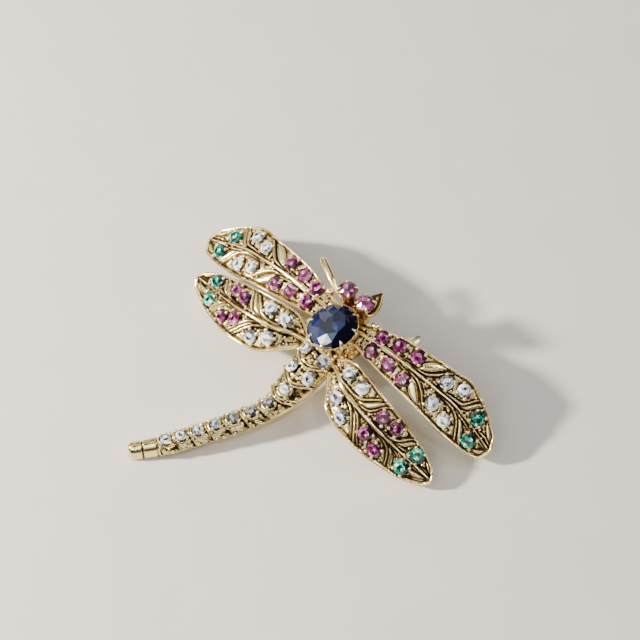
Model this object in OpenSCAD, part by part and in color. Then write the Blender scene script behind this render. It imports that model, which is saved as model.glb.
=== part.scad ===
/* [Front wings] */
// Span over the tips of the front wings
front_span = 46.6; // [42:0.2:52]
// Widest chord of a front wing
front_w = 6.6; // [5.8:0.1:7.6]
// Height of a front wing's underside at its root, along the rear edge
front_root_h = 6; // [5:0.1:7]
// Height of a front wing's underside at its tip
front_tip_h = 0.6; // [0.1:0.1:1.5]
// Tilt of a front wing up to its leading edge, in degrees
front_tilt = 24; // [14:1:32]
// How far the pair of front wings is turned about the vertical, in degrees
front_turn = 1.5; // [-3:0.5:3]

/* [Rear wings] */
// Span over the tips of the rear wings
rear_span = 41.2; // [38:0.2:46]
// Widest chord of a rear wing
rear_w = 6.2; // [5.4:0.1:7]
// Height of a rear wing's underside at its root, along the rear edge
rear_root_h = 4; // [3.2:0.1:5]
// Tilt of a rear wing up to its leading edge, in degrees
rear_tilt = 31; // [18:1:36]
// How far the pair of rear wings is turned about the vertical, in degrees
rear_turn = -2; // [-3:0.5:3]

/* [Wing casting] */
// Thickness of a wing at its edges, measured straight down
wing_t = 0.75; // [0.6:0.05:1.2]
// How far the middle of a wing bulges above its edges
wing_crown = 0.4; // [0.3:0.05:0.7]
// Width of the polished rim
rim_w = 0.5; // [0.3:0.05:0.8]
// Height of the rim above the stone panels
rim_h = 0.16; // [0.05:0.01:0.3]
// Height of the midrib and the flutes above the stone panels
rib_h = 0.22; // [0.1:0.01:0.35]
// Width of a flute
flute_w = 0.42; // [0.3:0.01:0.6]

/* [Body] */
// Length of the head and thorax
thorax_l = 8.4; // [7.6:0.1:9.6]
// Width of the thorax
thorax_w = 7.6; // [6.8:0.1:8.6]
// Height of the thorax's back above the surface
thorax_h = 7.7; // [7:0.1:8.4]
// Height of the thorax's flat underside above the surface
belly_h = 4.6; // [3.8:0.1:5]
// Length of the abdomen along its curve
abdomen_l = 27.2; // [24:0.2:31]
// Width of the abdomen at its first segment
abdomen_w = 5; // [4.4:0.1:5.6]
// Height of the abdomen's back at its first segment
abdomen_h = 6.4; // [5.8:0.1:7]
// How far the abdomen's end bends to the side, in degrees
abdomen_bend = 40; // [0:1:50]

/* [Stones] */
// Length of the oval stone
oval_l = 6.6; // [6:0.1:8]
// Width of the oval stone
oval_w = 5.5; // [5:0.1:6.2]
// Height of the oval stone's table above the surface
oval_top = 10.1; // [9.8:0.1:11]
// Diameter of an eye stone
eye_d = 2.2; // [1.9:0.05:2.5]
// Height of an eye stone's table above the surface
eye_top = 11.3; // [10.6:0.1:12]
// Distance between the middles of the eyes
eye_pitch = 2.9; // [2.8:0.05:3.4]
// Diameter of a ruby on a wing
ruby_d = 1.8; // [1.5:0.05:2]
// Diameter of an emerald on a wing
emerald_d = 1.85; // [1.5:0.05:2]
// Diameter of a diamond on a wing
diamond_d = 1.75; // [1.5:0.05:1.9]
// Diameter of a diamond on the two broad segments
collar_diamond_d = 1.75; // [1.5:0.05:1.85]
// Diameter of a diamond along the tail
tail_diamond_d = 1.4; // [1.2:0.05:1.5]
// Gap between a stone and its seat
stone_gap = 0.06; // [0.03:0.01:0.1]

/* [Antennae] */
// Thickness of an antenna
antenna_d = 0.72; // [0.5:0.02:0.9]

/* [Pin] */
// Distance between the hinge post and the catch post, middle to middle
pin_l = 15.2; // [13:0.1:18]
// Diameter of the pin stem
pin_d = 0.8; // [0.6:0.05:1.1]
// Height of the pin stem's axis above the surface
pin_h = 1.3; // [1.1:0.05:1.6]
// Width of the hinge post and of the catch post
post_w = 1.6; // [1.2:0.1:2]
// Gap between a post's top and the wing above it
post_gap = 0.12; // [0.08:0.01:0.2]
// How far the catch's lug reaches forward of its post
lug_l = 1.7; // [1:0.1:2.6]

/* [Hidden] */
SIDES = ["left", "right"];
FRONT_RUBIES = ["root_front", "root_rear", "middle_front", "middle_rear", "outer_front", "outer_rear"];
REAR_RUBIES = ["inner_front", "inner_rear", "outer_front", "outer_rear"];
EMERALDS = ["front", "rear"];
WINGS = ["front_wing", "rear_wing"];

GOLD = "goldenrod";
RUBY = "mediumvioletred";
EMERALD = "mediumseagreen";
DIAMOND = "aliceblue";
SAPPHIRE = "midnightblue";

// Wing outlines in shares: along the length, front and rear edge from the wing's line, and height of
// the underside
FRONT_PLAN = [
    [0, 0.12, 0.32, 1],
    [0.13, 0.22, 0.38, 0.97],
    [0.25, 0.32, 0.42, 0.91],
    [0.45, 0.43, 0.45, 0.72],
    [0.57, 0.49, 0.46, 0.56],
    [0.68, 0.565, 0.46, 0.38],
    [0.79, 0.49, 0.43, 0.21],
    [0.88, 0.36, 0.38, 0.09],
    [0.95, 0.22, 0.31, 0.02],
    [0.985, 0.12, 0.24, 0.005],
    [1, 0.03, 0.17, 0]
];
REAR_PLAN = [
    [0, 0.5, -0.16, 1],
    [0.08, 0.57, 0.1, 0.96],
    [0.15, 0.57, 0.34, 0.89],
    [0.25, 0.53, 0.48, 0.79],
    [0.36, 0.49, 0.52, 0.71],
    [0.47, 0.46, 0.53, 0.59],
    [0.57, 0.455, 0.48, 0.42],
    [0.67, 0.45, 0.4, 0.23],
    [0.77, 0.43, 0.31, 0.08],
    [0.87, 0.38, 0.2, 0.01],
    [0.94, 0.31, 0.1, 0],
    [0.985, 0.22, 0.02, 0],
    [1, 0.14, -0.03, 0]
];
// Columns of a wing's outline
AHEAD = 1;
BEHIND = 2;
LIFT = 3;

// A wing's length, widest chord, line, heights at root and tip, tilt, outline and turn
LENGTH = 0;
WIDTH = 1;
LINE = 2;
ROOT_H = 3;
TIP_H = 4;
TILT = 5;
PLAN = 6;
TURN = 7;
wing_root_x = 2.6;
front_line = 2.7;
rear_line = -4.6;
FRONT = [
    front_span / 2 - wing_root_x, front_w, front_line, front_root_h, front_tip_h, front_tilt, FRONT_PLAN,
    front_turn
];
REAR = [rear_span / 2 - wing_root_x, rear_w, rear_line, rear_root_h, 0, rear_tilt, REAR_PLAN, rear_turn];

// Places of the wing stones: share of the length, share of the chord from the rear edge
FRONT_RUBY_AT = [
    [0.132, 0.735], [0.127, 0.262],
    [0.243, 0.755], [0.256, 0.252],
    [0.366, 0.77], [0.375, 0.22]
];
FRONT_DIAMOND_AT = [[0.579, 0.715], [0.683, 0.783], [0.584, 0.272], [0.689, 0.2]];
FRONT_EMERALD_AT = [[0.832, 0.69], [0.866, 0.265]];
REAR_RUBY_AT = [[0.515, 0.725], [0.487, 0.312], [0.62, 0.775], [0.59, 0.2]];
REAR_DIAMOND_AT = [[0.155, 0.745], [0.287, 0.782], [0.184, 0.285], [0.293, 0.195]];
REAR_EMERALD_AT = [[0.822, 0.728], [0.788, 0.258]];

// Flutes: where each starts beside the midrib and where it runs out at the rim, length and chord shares
FRONT_FLUTES = [
    [0.33, 0.56, 0.5, 0.92], [0.38, 0.55, 0.535, 0.9],
    [0.32, 0.44, 0.53, 0.08], [0.37, 0.44, 0.57, 0.1],
    [0.68, 0.55, 0.785, 0.88], [0.69, 0.45, 0.79, 0.12]
];
REAR_FLUTES = [
    [0.25, 0.57, 0.4, 0.91], [0.25, 0.44, 0.385, 0.1],
    [0.3, 0.56, 0.435, 0.89], [0.3, 0.44, 0.425, 0.12],
    [0.56, 0.55, 0.72, 0.88], [0.56, 0.44, 0.69, 0.12]
];

// Where the head and thorax are cut: share of the length from the front, then shares of the width,
// of the height and of the belly's height
TRUNK = [
    [0, 0.16, 0.93, 1.5],
    [0.06, 0.34, 1.02, 1.25],
    [0.16, 0.46, 1.05, 1.1],
    [0.3, 0.62, 1.03, 1],
    [0.46, 0.92, 1, 1],
    [0.64, 1, 1, 1],
    [0.82, 0.86, 0.97, 1],
    [1, 0.6, 0.88, 0.9]
];
// Segments of the abdomen: shares of the length, width, back's height, underside's height and bend
SEGMENTS = [
    [0.097, 1, 1, 0.5, 0],
    [0.1, 0.96, 0.84, 0.41, 0],
    [0.098, 0.79, 0.7, 0.32, 0.05],
    [0.088, 0.59, 0.645, 0.27, 0.36],
    [0.088, 0.56, 0.6, 0.235, 0.67],
    [0.083, 0.54, 0.56, 0.2, 0.72],
    [0.083, 0.52, 0.52, 0.165, 0.73],
    [0.08, 0.505, 0.48, 0.125, 0.75],
    [0.072, 0.49, 0.445, 0.085, 0.79],
    [0.068, 0.48, 0.415, 0.05, 0.9],
    [0.07, 0.46, 0.37, 0.015, 0.97],
    [0.073, 0.44, 0.335, 0, 1]
];
SEG_L = 0;
SEG_W = 1;
SEG_TOP = 2;
SEG_LOW = 3;
SEG_BEND = 4;
paired_segments = 2;
stone_segments = 10;
abdomen_start_y = -1.8;
pair_spread = 0.56;

// Points of the antennae, from the middle between the eyes: across, ahead and up from the thorax's back
LEFT_ANTENNA = [[-0.9, -0.3, 0.3], [-3.1, -0.1, 0.9], [-4.5, 0.5, 1.3], [-5.9, 1.2, 1.3], [-7.2, 1.9, 1.1]];
RIGHT_ANTENNA = [[1.2, 0.1, 0.9], [2.3, 0.4, 1], [3.1, 1, 1.2], [3, 1.9, 1.5], [2, 2.5, 1.9]];
eye_y = 4.3;

// Proportions of a cut stone, in shares of its width
table_share = 0.56;
crown_share = 0.16;
girdle_share = 0.05;
pavilion_share = 0.4;
culet_share = 0.04;
// Proportions that only the larger stones have: the ring of star facets and the ring of keel facets
fine_crown_share = 0.176;
star_share = 0.83;
star_up = 0.48;
keel_share = 0.5;
keel_down = 0.62;
// How far a wing stone's girdle stands above the wing's face
proud = 0.06;

// Value at s of column c of a table, smooth through its rows
function row_at(t, s, k = 0) = k >= len(t) - 2 || s < t[k + 1][0] ? k : row_at(t, s, k + 1);
function slope_at(t, k, c) =
    let (a = t[max(k - 1, 0)], b = t[min(k + 1, len(t) - 1)])
    (b[c] - a[c]) / (b[0] - a[0]);
function smooth(t, s, c) =
    let (k = row_at(t, s), a = t[k], b = t[k + 1], h = b[0] - a[0], u = (s - a[0]) / h)
    (2 * u ^ 3 - 3 * u ^ 2 + 1) * a[c] + (u ^ 3 - 2 * u ^ 2 + u) * h * slope_at(t, k, c)
    + (3 * u ^ 2 - 2 * u ^ 3) * b[c] + (u ^ 3 - u ^ 2) * h * slope_at(t, k + 1, c);
function unit(v) = v / norm(v);

// Point of a right wing at share s of its length and share v of its chord, on its underside or its face
function front_edge(w, s) = w[LINE] + w[WIDTH] * smooth(w[PLAN], s, AHEAD);
function rear_edge(w, s) = w[LINE] - w[WIDTH] * smooth(w[PLAN], s, BEHIND);
function chord(w, s) = front_edge(w, s) - rear_edge(w, s);
function underside(w, s, v) = [
    wing_root_x + s * w[LENGTH],
    rear_edge(w, s) + v * chord(w, s),
    w[TIP_H] + (w[ROOT_H] - w[TIP_H]) * smooth(w[PLAN], s, LIFT) + tan(w[TILT]) * v * chord(w, s)
];
function face(w, s, v) = underside(w, s, v) + [0, 0, wing_t + wing_crown * (1 - (2 * v - 1) ^ 2)];
function face_normal(w, s, v) =
    let (d = 0.02)
    unit(cross(face(w, s + d, v) - face(w, s - d, v), face(w, s, v + d) - face(w, s, v - d)));
// Height of the underside over a place on either side
function under_h(w, x, y) =
    let (
        across = abs(x * cos(w[TURN]) + y * sin(w[TURN])),
        ahead = y * cos(w[TURN]) - x * sin(w[TURN]),
        s = (across - wing_root_x) / w[LENGTH]
    )
    underside(w, s, (ahead - rear_edge(w, s)) / chord(w, s))[2];

// A solid through rings of points, each ring with the same number of points. An end that isn't flat
// is closed with a fan of triangles.
module loft(rings, fan = false) {
    n = len(rings[0]);
    last = (len(rings) - 1) * n;
    sides = [
        for (i = [0:len(rings) - 2]) for (j = [0:n - 1])
            let (a = i * n + j, b = i * n + (j + 1) % n)
            each [[a, b + n, b], [a, a + n, b + n]]
    ];
    flat_ends = [[for (j = [0:n - 1]) j], [for (j = [n - 1:-1:0]) last + j]];
    fans = [for (j = [1:n - 2]) each [[0, j, j + 1], [last, last + j + 1, last + j]]];
    polyhedron([for (ring = rings) each ring], concat(fan ? fans : flat_ends, sides));
}

// The places of a wing's cuts along its length, closer together towards the tip
wing_cuts = 20;
cut_crowding = 1.3;
function cut_share(i) = 1 - (1 - i / wing_cuts) ^ cut_crowding;

// A cut through a wing: the underside, then the face from the front edge back, with rim, panel, midrib,
// panel and rim
midrib_share = 0.04;
widest_rim_share = 0.2;
edge_h = 0.3 * rim_h;
function wing_ring(w, s) =
    let (
        rim = min(rim_w / chord(w, s), widest_rim_share),
        foot = 0.5 - midrib_share,
        panel = (rim + foot) / 2,
        half = [[0.5, rib_h], [foot, 0], [panel, 0], [rim, 0], [rim / 2, rim_h], [0, edge_h]]
    )
    concat(
        [for (v = [0, 1]) underside(w, s, v)],
        [for (k = [5:-1:1]) face(w, s, 1 - half[k][0]) + [0, 0, half[k][1]]],
        [for (q = half) face(w, s, q[0]) + [0, 0, q[1]]]
    );
// How far a wing's root reaches into the body and down
root_sink = [1.5, 0, 0.6];
module wing(w) {
    root = [for (p = wing_ring(w, 0)) p - root_sink];
    loft(concat([root], [for (i = [0:wing_cuts]) wing_ring(w, cut_share(i))]));
}

// A raised flute that leaves the midrib and runs out at the rim, highest and widest halfway
flute_steps = 4;
flute_bow = 1.6;
module flute(w, f) {
    function at(u) = [f[0] + (f[2] - f[0]) * u, f[1] + (f[3] - f[1]) * u ^ flute_bow];
    function on_face(u) = face(w, at(u)[0], at(u)[1]);
    near = 0.05;
    loft([
        for (i = [0:flute_steps])
            let (
                u = i / flute_steps,
                p = on_face(u),
                n = face_normal(w, at(u)[0], at(u)[1]),
                ahead = on_face(u + near) - on_face(max(u - near, 0)),
                swell = (1 + sin(180 * u)) / 2,
                across = unit(cross(n, ahead)) * flute_w / 2 * swell,
                sunk = n * rib_h / 2
            )
            [p - across - sunk, p - sunk * 2, p + across - sunk, p + n * rib_h * swell]
    ]);
}

// Turns and moves a stone or its seat so that its table faces along n at p
module seated(p, n) {
    side = unit(cross([0, 1, 0], n));
    back = cross(n, side);
    multmatrix([
        [side[0], back[0], n[0], p[0]],
        [side[1], back[1], n[1], p[1]],
        [side[2], back[2], n[2], p[2]]
    ]) children();
}

function ring(l, w, z, count, turn = 0) = [
    for (i = [0:count - 1])
        let (a = 360 * i / count + turn)
        [w / 2 * cos(a), l / 2 * sin(a), z]
];

// A small round stone with a table and eight crown facets, its girdle's lower edge at z = 0
module small_stone(d) {
    loft([
        ring(d * culet_share, d * culet_share, -d * pavilion_share, 8),
        ring(d, d, 0, 8),
        ring(d, d, d * girdle_share, 8),
        ring(d * table_share, d * table_share, d * (girdle_share + crown_share), 8)
    ]);
}

// The hollow that a small stone sits in
module small_seat(d) {
    wide = d + 2.4 * stone_gap;
    table = d * table_share + 2 * stone_gap;
    point = d * culet_share + 3.6 * stone_gap;
    loft([
        ring(point, point, -d * pavilion_share - stone_gap, 8),
        ring(wide, wide, -stone_gap / 2, 8),
        ring(wide, wide, d * girdle_share + stone_gap / 2, 8),
        ring(table, table, d * (girdle_share + crown_share) + stone_gap, 8)
    ]);
}

// A stone with an eight-sided table, star, kite and girdle facets, its girdle's lower edge at z = 0
module fine_stone(l, w) {
    crown = w * fine_crown_share;
    girdle = w * girdle_share;
    depth = w * pavilion_share;
    points = concat(
        ring(l * table_share, w * table_share, girdle + crown, 8, 22.5),
        ring(l * star_share, w * star_share, girdle + crown * star_up, 8),
        ring(l, w, girdle, 16, 22.5),
        ring(l, w, 0, 16, 22.5),
        ring(l * keel_share, w * keel_share, -depth * keel_down, 8, 22.5),
        [[0, 0, -depth]]
    );
    table = 0;
    star = 8;
    top = 16;
    low = 32;
    keel = 48;
    culet = 56;
    facets = [
        for (i = [0:7]) let (j = (i + 1) % 8, g = 2 * i, h = 2 * i + 1, k = (2 * i + 2) % 16) each [
            [table + i, table + j, star + j],
            [table + i, star + j, top + g],
            [star + j, top + h, top + g],
            [star + j, top + k, top + h],
            [star + j, table + j, top + k],
            [top + g, top + h, low + h], [top + g, low + h, low + g],
            [top + h, top + k, low + k], [top + h, low + k, low + h],
            [low + g, low + h, keel + i], [low + h, low + k, keel + j],
            [low + h, keel + j, keel + i], [keel + i, keel + j, culet]
        ]
    ];
    polyhedron(points, concat([[for (i = [7:-1:0]) table + i]], facets));
}

// The hollow that a larger stone sits in
module fine_seat(l, w) {
    crown = w * fine_crown_share;
    girdle = w * girdle_share;
    depth = w * pavilion_share;
    function around(share, z) =
        let (wider = 2.2 * stone_gap) ring(l * share + wider, w * share + wider, z, 16, 22.5);
    loft([
        around(culet_share, -depth - stone_gap * 1.5),
        around(keel_share, -depth * keel_down - stone_gap * 1.5),
        around(1, -stone_gap / 2),
        around(1, girdle + stone_gap / 2),
        around(star_share, girdle + crown * star_up + stone_gap),
        around(table_share, girdle + crown + stone_gap)
    ]);
}

// Places a wing stone of diameter d by its shares of the length and the chord
module on_wing(w, at) {
    n = face_normal(w, at[0], at[1]);
    seated(face(w, at[0], at[1]) + n * proud, n) children();
}

module wing_seats(w, rubies, diamonds, emeralds) {
    for (at = rubies) on_wing(w, at) small_seat(ruby_d);
    for (at = diamonds) on_wing(w, at) small_seat(diamond_d);
    for (at = emeralds) on_wing(w, at) small_seat(emerald_d);
}

// Moves what belongs to a right wing onto the wing of that side
module beside(side, w) {
    rotate([0, 0, w[TURN]]) mirror([side == "left" ? 1 : 0, 0, 0]) children();
}

module wing_with_seats(w, flutes, rubies, diamonds, emeralds) {
    difference() {
        union() {
            wing(w);
            for (f = flutes) flute(w, f);
        }
        wing_seats(w, rubies, diamonds, emeralds);
    }
}

// Outline of the body where it is cut: flat below, round above
section_sides = 14;
waist_share = 0.4;
belly_squareness = 0.4;
function section(w, low, top) = [
    for (i = [0:section_sides - 1])
        let (
            a = -90 + 360 * (i + 0.5) / section_sides,
            above = sin(a) > 0,
            waist = low + (top - low) * waist_share,
            up = above ? (top - waist) * sin(a) : -(waist - low) * 1.03 * (-sin(a)) ^ belly_squareness,
            out = above ? cos(a) : sign(cos(a)) * abs(cos(a)) ^ belly_squareness
        )
        [w / 2 * out, max(waist + up, low)]
];
thorax_front_y = eye_y + 1.7;
module trunk() {
    loft([
        for (c = TRUNK)
            [for (p = section(thorax_w * c[1], belly_h * c[3], thorax_h * c[2]))
                [p[0], thorax_front_y - thorax_l * c[0], p[1]]]
    ]);
}

// The abdomen's middle line: where each segment starts, and which way it runs
function bend_of(i) = -90 - abdomen_bend * SEGMENTS[i][SEG_BEND];
function heading(i) = [cos(bend_of(i)), sin(bend_of(i)), 0];
function segment_run(i) = heading(i) * abdomen_l * SEGMENTS[i][SEG_L];
function segment_start(i) = i == 0 ? [0, abdomen_start_y, 0] : segment_start(i - 1) + segment_run(i - 1);
function across(i) = [-heading(i)[1], heading(i)[0], 0];
function back_h(i, u) =
    let (here = SEGMENTS[i][SEG_TOP], next = SEGMENTS[min(i + 1, len(SEGMENTS) - 1)][SEG_TOP])
    abdomen_h * (here + (next - here) * (u - 0.5) * 0.8);
function low_h(i, u) =
    let (here = SEGMENTS[i][SEG_LOW], next = SEGMENTS[min(i + 1, len(SEGMENTS) - 1)][SEG_LOW])
    abdomen_h * max(0, here + (next - here) * (u - 0.5));
// Cuts of a segment: share of its length, share of its width, drop of its back
SEGMENT_CUTS = [[0.04, 0.88, 0.16], [0.5, 0.98, 0], [0.93, 1.03, 0]];
END_CUTS = [[0.08, 0.84, 0.2], [0.2, 1, 0], [0.7, 0.96, 0.06], [1, 0.6, 0.45]];
function abdomen_ring(i, c) =
    let (start = segment_start(i), along = segment_run(i))
    [for (p = section(abdomen_w * SEGMENTS[i][SEG_W] * c[1], low_h(i, c[0]), back_h(i, c[0]) - c[2]))
        start + along * c[0] + across(i) * p[0] + [0, 0, p[1]]];
abdomen_rings = [
    for (i = [0:len(SEGMENTS) - 1]) each
        [for (c = i < len(SEGMENTS) - 1 ? SEGMENT_CUTS : END_CUTS) abdomen_ring(i, c)]
];

// Places a stone on segment i, off to one side by a share of half the width
side_lean = 50;
shoulder_share = 0.6;
module on_segment(i, off) {
    run = segment_run(i);
    slope = (back_h(i, 1) - back_h(i, 0)) / norm(run);
    half = abdomen_w * SEGMENTS[i][SEG_W] / 2;
    shoulder = (back_h(i, 0.5) - low_h(i, 0.5)) * shoulder_share;
    up = [0, 0, back_h(i, 0.5) - shoulder * (1 - sqrt(1 - off ^ 2))];
    along = unit(heading(i) + [0, 0, slope]);
    outward = across(i) * sin(side_lean * off) + [0, 0, cos(side_lean * off)] - along * slope * 0.9;
    seated(segment_start(i) + run / 2 + across(i) * half * off + up, unit(outward)) children();
}

module each_abdomen_stone(seat) {
    for (i = [0:stone_segments - 1]) {
        d = i < paired_segments ? collar_diamond_d : tail_diamond_d;
        for (off = i < paired_segments ? [-pair_spread, pair_spread] : [0]) {
            on_segment(i, off) {
                if (seat) small_seat(d);
                else small_stone(d);
            }
        }
    }
}

// The oval stone's cup, with its claws
oval_girdle = oval_top - oval_w * (fine_crown_share + girdle_share);
cup_wall = 0.2;
cup_foot = 0.66;
cup_lip = 0.12;
module cup() {
    function around(share, z) =
        ring((oval_l + 2 * cup_wall) * share, (oval_w + 2 * cup_wall) * share, z, 24, 7.5);
    loft([
        around(cup_foot, thorax_h - 1),
        around(cup_foot + 0.06, thorax_h + 0.1),
        around(1, oval_girdle - cup_lip),
        around(1, oval_girdle + cup_lip)
    ]);
}
claw_w = 0.6;
claw_h = 0.62;
claw_count = 8;
module claws() {
    for (i = [0.5:claw_count]) {
        a = 360 * i / claw_count;
        p = [(oval_w + claw_w * 0.4) / 2 * cos(a), (oval_l + claw_w * 0.4) / 2 * sin(a), 0];
        loft([
            [for (q = ring(claw_w, claw_w, oval_girdle - 1.6, 6)) q + p * 0.93],
            [for (q = ring(claw_w, claw_w, oval_girdle + claw_h / 3, 6)) q + p],
            [for (q = ring(claw_w * 2 / 3, claw_w * 2 / 3, oval_girdle + claw_h, 6)) q + p * 0.95]
        ]);
    }
}

// An eye's cup with its claws, on the left for side = -1
eye_girdle = eye_top - eye_d * (fine_crown_share + girdle_share);
eye_wall = 0.18;
eye_lean = 0.72;
eye_claw_w = 0.4;
eye_claw_h = 0.38;
module eye_cup(side) {
    at = [side * eye_pitch / 2, eye_y, 0];
    foot = [side * eye_pitch / 2 * eye_lean, eye_y, 0];
    function around(p, d, z) = [for (q = ring(d, d, z, 10)) q + p];
    loft([
        around(foot, eye_d * 0.62, thorax_h - 0.6),
        around(foot, eye_d * 0.7, thorax_h + 1.2),
        around(at, eye_d + 2 * eye_wall, eye_girdle - 0.1),
        around(at, eye_d + 2 * eye_wall, eye_girdle + 0.08)
    ]);
    for (a = [45:90:359]) {
        c = [cos(a), sin(a), 0] * (eye_d + eye_claw_w / 2) / 2;
        loft([
            [for (q = ring(eye_claw_w, eye_claw_w, eye_girdle - 1, 5)) q + at + c * 0.9],
            [for (q = ring(eye_claw_w, eye_claw_w, eye_girdle + eye_claw_h, 5)) q + at + c]
        ]);
    }
}

// A bent wire of even thickness through a few points, flat at both ends
module antenna(points) {
    rise = [0, eye_y, thorax_h];
    last = len(points) - 1;
    loft([
        for (i = [0:last])
            let (
                ahead = unit(points[min(i + 1, last)] - points[max(i - 1, 0)]),
                side = unit(cross(ahead, [0, 0, 1])),
                up = cross(side, ahead)
            )
            [for (a = [0:45:359]) points[i] + rise + (side * cos(a) - up * sin(a)) * antenna_d / 2]
    ]);
}

// A round bead beside the root of a front wing
shoulder_d = 1.3;
module shoulder_bead() {
    at = face(FRONT, 0.055, 1);
    translate(at) sphere(d = shoulder_d, $fn = 12);
}

module gold_metal() {
    difference() {
        union() {
            trunk();
            loft(abdomen_rings);
            cup();
            claws();
            for (side = [-1, 1]) eye_cup(side);
            for (side = SIDES) beside(side, FRONT) shoulder_bead();
            antenna(LEFT_ANTENNA);
            antenna(RIGHT_ANTENNA);
        }
        each_abdomen_stone(true);
        translate([0, 0, oval_girdle]) fine_seat(oval_l, oval_w);
        for (side = [-1, 1]) translate([side * eye_pitch / 2, eye_y, eye_girdle]) fine_seat(eye_d, eye_d);
    }
    for (side = SIDES) {
        beside(side, FRONT)
            wing_with_seats(FRONT, FRONT_FLUTES, FRONT_RUBY_AT, FRONT_DIAMOND_AT, FRONT_EMERALD_AT);
        beside(side, REAR)
            wing_with_seats(REAR, REAR_FLUTES, REAR_RUBY_AT, REAR_DIAMOND_AT, REAR_EMERALD_AT);
    }
}

// The whole part is centred over the surface that it rests on, between the catch's lug and the tail's end
pin_y = 4;
front_reach = pin_y + post_w + lug_l;
rear_reach = min([for (r = abdomen_rings) for (p = r) p[1]]);
module centred() {
    translate([0, -(front_reach + rear_reach) / 2, 0]) children();
}

module gold_body() {
    color(GOLD) centred() gold_metal();
}

// The pin on the back: a hinge post, the stem and a catch post with its lug, made as one piece
module post(x) {
    corners = [[-1, -1], [1, -1], [1, 1], [-1, 1]];
    function corner(c) = [x + c[0] * post_w / 2, pin_y + c[1] * post_w / 2, 0];
    loft([
        [for (c = corners) corner(c)],
        [for (c = corners) let (p = corner(c)) [p[0], p[1], under_h(FRONT, p[0], p[1]) - post_gap]]
    ], fan = true);
}
lug_h = 5;
lug_t = 1;
hinge_w = 1.9;
module brooch_pin() {
    color(GOLD) centred() {
        for (side = [-1, 1]) post(side * pin_l / 2);
        translate([-pin_l / 2, pin_y, pin_h]) rotate([0, 90, 0]) cylinder(h = pin_l, d = pin_d, $fn = 24);
        translate([-pin_l / 2, pin_y + hinge_w / 2, pin_h]) rotate([90, 0, 0])
            cylinder(h = hinge_w, r = pin_h, $fn = 32);
        translate([(pin_l - post_w) / 2, pin_y, lug_h]) cube([post_w, post_w / 2 + lug_l, lug_t]);
        translate([pin_l / 2, pin_y + post_w / 2 + lug_l, lug_h]) cylinder(h = lug_t, d = post_w, $fn = 32);
    }
}

module stones(w, places, d, side) {
    centred() beside(side, w) {
        for (at = places) on_wing(w, at) small_stone(d);
    }
}

module sapphire() {
    color(SAPPHIRE) centred() translate([0, 0, oval_girdle]) fine_stone(oval_l, oval_w);
}
module eye_ruby(side) {
    to_side = side == "left" ? -1 : 1;
    color(RUBY) centred() translate([to_side * eye_pitch / 2, eye_y, eye_girdle]) fine_stone(eye_d, eye_d);
}
module wing_ruby(w, at, side) {
    color(RUBY) stones(w, [at], ruby_d, side);
}
module wing_emerald(w, at, side) {
    color(EMERALD) stones(w, [at], emerald_d, side);
}
module wing_diamonds(w, places, side) {
    color(DIAMOND) stones(w, places, diamond_d, side);
}
module abdomen_diamonds() {
    color(DIAMOND) centred() each_abdomen_stone(false);
}

gold_body();
brooch_pin();
sapphire();
abdomen_diamonds();
for (side = SIDES) {
    eye_ruby(side);
    for (i = [0:len(FRONT_RUBIES) - 1]) {
        name = str("front_wing_ruby_", FRONT_RUBIES[i], "_", side);
        wing_ruby(FRONT, FRONT_RUBY_AT[i], side);
    }
    for (i = [0:len(REAR_RUBIES) - 1]) {
        name = str("rear_wing_ruby_", REAR_RUBIES[i], "_", side);
        wing_ruby(REAR, REAR_RUBY_AT[i], side);
    }
    for (i = [0:1]) {
        w = [FRONT, REAR][i];
        for (j = [0:1]) {
            name = str(WINGS[i], "_emerald_", EMERALDS[j], "_", side);
            at = [FRONT_EMERALD_AT, REAR_EMERALD_AT][i][j];
            wing_emerald(w, at, side);
        }
        name = str(WINGS[i], "_diamonds_", side);
        places = [FRONT_DIAMOND_AT, REAR_DIAMOND_AT][i];
        wing_diamonds(w, places, side);
    }
}
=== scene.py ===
"""A dragonfly brooch in yellow gold, set with rubies, emeralds, diamonds and an oval sapphire.

Lengths are millimetres in the brooch's own axes: the oval stone stands over x = 0, y = 0, the head looks
along +y and the brooch rests on z = 0. to_frame() carries them into the shared frame, in metres.
"""

from math import cos, hypot, pi, radians, sin, sqrt, tan

import bmesh
import bpy
import numpy as np
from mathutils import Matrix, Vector


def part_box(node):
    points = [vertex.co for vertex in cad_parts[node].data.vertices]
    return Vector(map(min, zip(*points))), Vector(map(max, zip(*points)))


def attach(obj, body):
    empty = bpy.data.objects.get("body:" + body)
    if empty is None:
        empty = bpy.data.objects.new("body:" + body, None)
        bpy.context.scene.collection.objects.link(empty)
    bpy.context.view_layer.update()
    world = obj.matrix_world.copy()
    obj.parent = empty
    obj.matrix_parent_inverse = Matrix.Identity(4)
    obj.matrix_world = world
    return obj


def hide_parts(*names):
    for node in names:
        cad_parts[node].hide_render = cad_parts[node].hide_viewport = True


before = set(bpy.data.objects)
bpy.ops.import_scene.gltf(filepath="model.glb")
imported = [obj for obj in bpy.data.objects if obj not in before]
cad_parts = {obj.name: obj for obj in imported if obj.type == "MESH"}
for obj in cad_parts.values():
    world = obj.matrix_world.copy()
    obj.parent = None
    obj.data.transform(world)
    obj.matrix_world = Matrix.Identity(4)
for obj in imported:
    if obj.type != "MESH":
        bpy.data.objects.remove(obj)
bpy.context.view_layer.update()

MM = 0.001

# Wings: span of the pair, widest chord, middle line, underside's height at root and tip, tilt and turn
FRONT = (46.6, 6.6, 2.7, 6.0, 0.6, 24, 1.5)
REAR = (41.2, 6.2, -4.6, 4.0, 0.0, 31, -2)
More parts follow.
